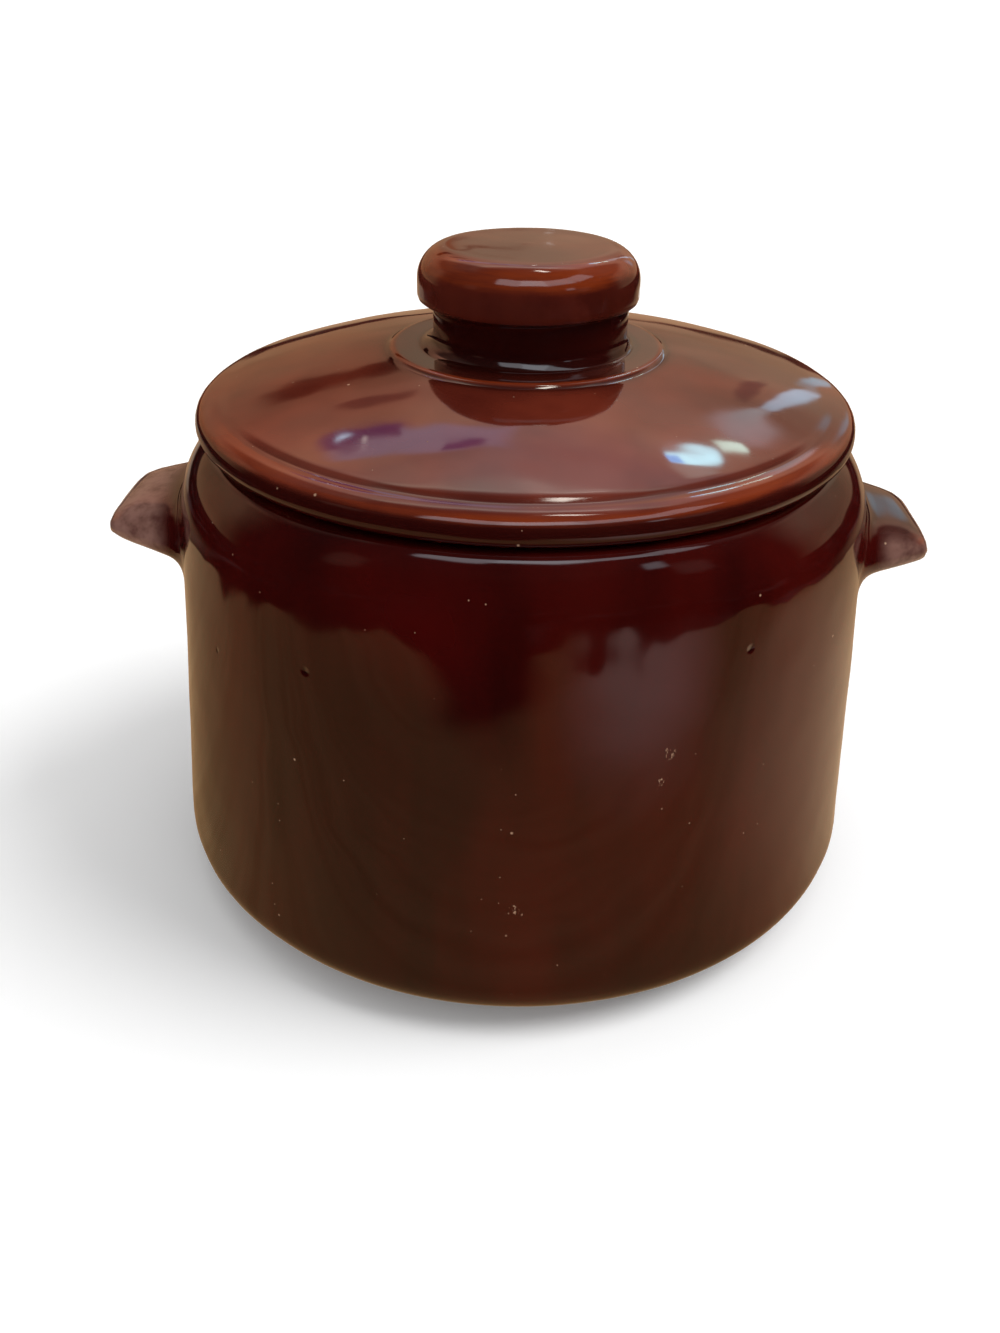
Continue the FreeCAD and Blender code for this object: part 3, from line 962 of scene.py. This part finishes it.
def make_room():
    """A tan wall and a warm ceiling behind the pot, with dark upper corners, and a dark room before it."""
    s = Shader(bpy.data.materials.new("room_card"))
    where = s.node("TexCoord").outputs["Object"]
    way = s.node("VectorMath", {0: where}, operation="NORMALIZE").outputs[0]
    parts = s.node("SeparateXYZ", {0: way}).outputs
    behind = ramp(s, parts["Z"], ROOM_BEHIND)
    behind = s.times(s.between(parts["X"], -0.02, -0.25), behind, ramp(s, parts["Z"], ROOM_LEFT))
    before = ramp(s, parts["Z"], ROOM_BEFORE)
    across = s.maths("ABSOLUTE", parts["X"])
    ahead = s.maths("SUBTRACT", parts["Y"], s.maths("MULTIPLY", across, 0.35))
    colour = s.mix(s.between(ahead, -0.22, 0.12), before, behind)
    aside = s.maths("SUBTRACT", across, s.maths("MULTIPLY", parts["Y"], 0.62))
    corner = s.maths("MULTIPLY", s.between(aside, -0.02, 0.12), s.between(parts["Z"], 0.42, 0.56))
    colour = s.mix(s.maths("MULTIPLY", corner, 0.85), colour, rgb(0.05, 0.03, 0.03))
    blotch = s.noise(3.0, where, detail=3)
    tone = s.mix(s.between(blotch, 0.35, 0.65), rgb(0.80, 0.80, 0.80), rgb(1.1, 1.1, 1.1))
    colour = s.times(1.0, colour, tone)
    glow = s.node("Emission", {"Color": colour, "Strength": 1.0})
    material = s.done(glow.outputs[0])
    angles = even_angles(64)
    rise_at = np.radians(np.linspace(-2, 90, 24))
    rows = ROOM_R * np.stack([np.cos(rise_at), np.sin(rise_at)], 1)
    points = turned(rows, angles).reshape(-1, 3)
    count = len(angles)
    faces = [(i * count + j, i * count + (j + 1) % count, (i + 1) * count + (j + 1) % count,
              (i + 1) * count + j) for i in range(len(rows) - 1) for j in range(count)]
    mesh = bpy.data.meshes.new("room_card")
    mesh.from_pydata(points.tolist(), [], faces)
    mesh.materials.append(material)
    room = bpy.data.objects.new("room_card", mesh)
    bpy.context.scene.collection.objects.link(room)
    only_in_gloss(room)


# Cards in the room: name, azimuth from +Y towards +X and elevation of the middle, width, height and
# lean, all in degrees as seen from the lid, then colour, strength, softness and raggedness, and for
# the card that hangs behind others its distance.
LOOK_FROM = Vector((0, 0, 0.14))
CARD_AWAY = 9.0
CARD_BEHIND = 9.3
CARDS = [
    ("lamp_card", 1.6, 41.2, 0.9, 0.7, 0, (1.0, 0.93, 0.85), 22.0, 0.5, 0.0),
    ("lamp_over_card", 22.0, 72.5, 10.0, 5.0, 20, (1.0, 0.93, 0.82), 15.0, 0.5, 1.2),
    ("lamp_side_card", -24.0, 39.6, 1.1, 0.8, 0, (0.60, 0.80, 1.0), 9.0, 0.7, 0.0),
    ("lamp_spot_card", -22.8, 41.4, 0.5, 0.4, 0, (1.0, 0.90, 0.80), 12.0, 0.5, 0.0),
    ("window_blue_card", 20.4, 42.4, 1.8, 2.6, 40, (0.22, 0.52, 1.0), 9.0, 0.5, 0.8),
    ("window_card", 22.0, 40.8, 2.2, 6.4, 40, (0.52, 0.88, 1.0), 11.5, 0.3, 1.8),
    ("window_far_card", 24.4, 36.0, 2.2, 4.4, 40, (0.76, 1.0, 0.88), 7.0, 0.4, 1.8),
    ("glow_right_card", 24.0, 43.2, 10.0, 9.0, 25, (1.0, 0.84, 0.76), 2.3, 0.9, 0.5),
    ("ceiling_card", 8.0, 56.0, 18.0, 5.0, 0, (1.0, 0.92, 0.86), 2.2, 0.8, 1.0),
    ("ceiling_streak_card", 10.0, 57.5, 14.0, 2.4, 0, (1.0, 0.90, 0.82), 4.2, 0.8, 1.2),
    ("sheen_card", 22.3, 17.5, 2.5, 20.0, -2, (0.62, 0.82, 1.0), 2.2, 0.7, 0.5),
    ("sheen_high_card", 22.6, 27.5, 4.2, 15.0, 0, (0.90, 0.96, 1.0), 1.5, 0.9, 0.4),
    ("sheen_low_card", 20.5, 6.0, 3.0, 15.0, -6, (0.62, 0.86, 1.0), 1.1, 0.8, 0.4),
    ("haze_right_card", 23.5, 31.0, 11.0, 17.0, 0, (0.98, 0.86, 0.90), 1.7, 1.0, 0.4,
     CARD_BEHIND),
    ("grey_right_card", 30.0, 14.5, 13.0, 26.0, 0, (0.72, 0.90, 1.0), 0.85, 1.0, 0.4),
    ("dark_right_card", 19.5, 19.5, 2.4, 16.0, -4, (0.20, 0.18, 0.16), 1.0, 0.8, 0.6),
    ("purple_card", -14.5, 43.8, 25.0, 6.0, 18, (0.92, 0.74, 1.0), 1.55, 0.5, 0.9),
    ("violet_card", -21.5, 40.4, 12.0, 4.4, 14, (0.36, 0.17, 0.58), 1.0, 0.6, 1.2),
    ("violet_far_card", -10.5, 45.6, 9.0, 2.6, 18, (0.36, 0.22, 0.76), 1.0, 0.6, 1.2),
    ("beam_card", -18.8, 22.2, 18.0, 6.0, 2, (0.010, 0.004, 0.004), 1.0, 0.6, 0.8),
    ("beam_high_card", -17.5, 32.5, 12.0, 4.6, 12, (0.34, 0.14, 0.11), 1.0, 0.7, 0.8),
    ("front_window_card", 172.0, 57.0, 34.0, 23.0, 0, (0.86, 0.92, 1.0), 3.6, 0.35, 0.8),
    ("front_left_card", -154.0, 55.0, 26.0, 25.0, 0, (0.90, 0.92, 1.0), 2.4, 0.4, 1.0),
    ("front_right_card", 133.0, 56.0, 32.0, 21.0, 0, (0.86, 0.92, 1.0), 2.2, 0.35, 1.1),
    ("front_low_card", 131.0, 31.0, 15.0, 12.0, 0, (0.84, 0.90, 1.0), 1.5, 0.8, 1.0),
    ("far_right_card", 97.0, 55.0, 24.0, 20.0, 0, (0.92, 0.92, 1.0), 1.8, 0.4, 0.8),
    ("knob_left_card", -6.0, 11.6, 5.5, 7.0, 0, (0.30, 0.11, 0.05), 1.0, 1.0, 0.4),
    ("knob_streak_card", -3.2, 12.0, 6.5, 0.7, 3, (0.14, 0.03, 0.01), 1.0, 0.6, 0.5),
    ("knob_lamp_card", 0.2, 11.2, 0.45, 0.25, 0, (1.0, 0.95, 0.9), 2.6, 0.6, 0.0),
    ("left_side_card", -118.0, 24.0, 24.0, 20.0, 0, (1.0, 0.55, 0.42), 0.25, 0.8, 1.0),
    ("right_side_card", 118.0, 24.0, 24.0, 20.0, 0, (1.0, 0.66, 0.60), 0.25, 0.8, 1.0),
]


def towards(azimuth, elevation):
    """The direction of an azimuth from +Y towards +X and an elevation, in degrees."""
    a, e = math.radians(azimuth), math.radians(elevation)
    return Vector((math.sin(a) * math.cos(e), math.cos(a) * math.cos(e), math.sin(e)))


def make_card(name, azimuth, elevation, width, height, lean, colour, strength, soft, ragged,
              away=CARD_AWAY):
    """A glowing card, in sight of glossy things only, that faces the pot from a direction."""
    s = Shader(bpy.data.materials.new(name))
    spot = s.node("TexCoord").outputs["Generated"]
    parts = s.node("SeparateXYZ", {0: spot}).outputs
    masks = []
    for axis in ("X", "Y"):
        off = s.maths("ABSOLUTE", s.maths("SUBTRACT", parts[axis], 0.5))
        masks.append(s.between(off, 0.5, 0.5 - soft / 2))
    mask = s.maths("MULTIPLY", masks[0], masks[1])
    if ragged:
        rough = s.noise(0.045 * (width * height) ** 0.5, s.place(shift=(azimuth, elevation, 0)),
                        detail=4, rough=0.65)
        torn = s.maths("ADD", mask, s.swing(rough, ragged))
        mask = s.maths("MULTIPLY", mask, s.between(torn, 0.15, 0.75))
    glow = s.node("Emission", {"Color": rgb(*colour), "Strength": strength})
    clear = s.node("BsdfTransparent")
    both = s.node("MixShader", {0: mask, 1: clear.outputs[0], 2: glow.outputs[0]})
    w = away * math.tan(math.radians(width / 2))
    h = away * math.tan(math.radians(height / 2))
    card = plane(name, oblong(w, h), s.done(both.outputs[0]))
    out = towards(azimuth, elevation)
    turn = out.to_track_quat("-Z", "Y").to_matrix().to_4x4()
    card.matrix_world = (Matrix.Translation(LOOK_FROM + out * away) @ turn
                         @ Matrix.Rotation(math.radians(lean), 4, "Z"))
    only_in_gloss(card)


# Name, azimuth and elevation, strength, and how wide the lamp is, in degrees.
SUNS = [
    ("key", 91, 50, 1.88, 34),
    ("top", 20, 78, 0.45, 60),
]


def make_sun(name, azimuth, elevation, strength, angle):
    """A soft distant lamp that lights things but leaves no spot in the gloss."""
    light = bpy.data.lights.new(name, "SUN")
    light.energy = strength
    light.angle = math.radians(angle)
    lamp = bpy.data.objects.new(name, light)
    bpy.context.scene.collection.objects.link(lamp)
    lamp.rotation_euler = towards(azimuth, elevation).to_track_quat("Z", "Y").to_euler()
    lamp.visible_glossy = False


make_floor()
make_world()
make_table()
make_room()
for card in CARDS:
    make_card(*card)
for sun in SUNS:
    make_sun(*sun)


# ---- Camera -------------------------------------------------------------------------------------

CAMERA_AT = Vector((0.0, -0.29473, 0.22558))
CAMERA_AIM = Vector((-0.004855, 0.0, 0.047744))
CAMERA_ROLL = 0.0104
CAMERA_SWING = math.radians(1.1)      # the pot stands turned by this much in front of the camera
FOCAL_SHARE = 1159 / 1333             # focal length as a share of the frame's long side
SENSOR = 36.0


def make_camera():
    data = bpy.data.cameras.new("camera")
    data.sensor_width = SENSOR
    data.lens = SENSOR * FOCAL_SHARE
    data.clip_start = 0.01
    data.clip_end = 50
    camera = bpy.data.objects.new("camera", data)
    bpy.context.scene.collection.objects.link(camera)
    swing = Matrix.Rotation(CAMERA_SWING, 3, "Z")
    at, aim = swing @ CAMERA_AT, swing @ CAMERA_AIM
    forward = (aim - at).normalized()
    right = forward.cross(Vector((0, 0, 1))).normalized()
    up = right.cross(forward)
    c, s = math.cos(CAMERA_ROLL), math.sin(CAMERA_ROLL)
    right, up = right * c + up * s, up * c - right * s
    camera.matrix_world = Matrix.Translation(at) @ Matrix((right, up, -forward)).transposed().to_4x4()
    bpy.context.scene.camera = camera


make_camera()
bpy.context.scene.view_settings.view_transform = "Standard"
